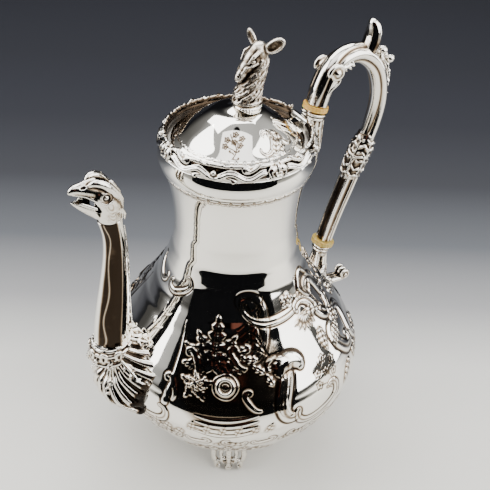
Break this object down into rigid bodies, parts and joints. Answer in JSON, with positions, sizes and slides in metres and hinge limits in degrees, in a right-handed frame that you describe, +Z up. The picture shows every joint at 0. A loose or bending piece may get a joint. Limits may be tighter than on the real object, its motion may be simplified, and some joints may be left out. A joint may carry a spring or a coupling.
{
  "type": "coffee pot",
  "caption": "Pear-shaped silver coffee pot with chased scrolls, a bird-head spout, a hinged domed lid with a doe-head finial, an insulated scroll handle and scroll feet.",
  "frame": {"origin": "on the body's axis, on the surface that the feet stand on", "axes": "+Z up along the body's axis, -X towards the spout, +X towards the handle"},
  "size_m": [0.2023, 0.164, 0.281],
  "materials": {
    "silver": "mirror-polished silver, slightly warm",
    "cast_silver": "polished cast silver with darkened recesses",
    "insulator": "yellowed bone, softly polished"
  },
  "bodies": {
    "pot": {"body_shell": "silver", "bottom_disc": "silver", "collar_band": "silver", "mouth_ring": "silver", "rim_border": "cast_silver", "spout_shell": "cast_silver", "spout_scroll_collar": "cast_silver", "spout_neck": "silver", "spout_leaf": "cast_silver", "spout_head": "cast_silver", "spout_lower_bill": "cast_silver", "handle_upper_socket": "silver", "handle_upper_insulator": "insulator", "handle_upper_pin": "silver", "handle_arch": "silver", "handle_volute": "cast_silver", "handle_lower_arm": "silver", "handle_knop": "cast_silver", "handle_outer_strand": "cast_silver", "thumb_leaf": "cast_silver", "bead_cluster": "cast_silver", "handle_lower_pin": "silver", "handle_lower_insulator": "insulator", "handle_lower_socket": "silver", "handle_spur": "cast_silver", "hinge_body_knuckles": "silver", "hinge_pin": "silver", "foot_near": "cast_silver", "foot_far": "cast_silver", "foot_back": "cast_silver"},
    "lid": {"lid_dome": "silver", "lid_bezel": "silver", "lid_hinge_leaf": "silver", "finial_collar": "cast_silver", "finial_deer": "cast_silver", "finial_stud": "silver", "finial_nut": "silver"}
  },
  "joints": [
    {"name": "lid_hinge", "type": "hinge", "parent": "pot", "child": "lid", "pos_m": [0.041, 0, 0.2252], "axis": [0, 1, 0], "range_deg": [0, 55]}
  ]
}
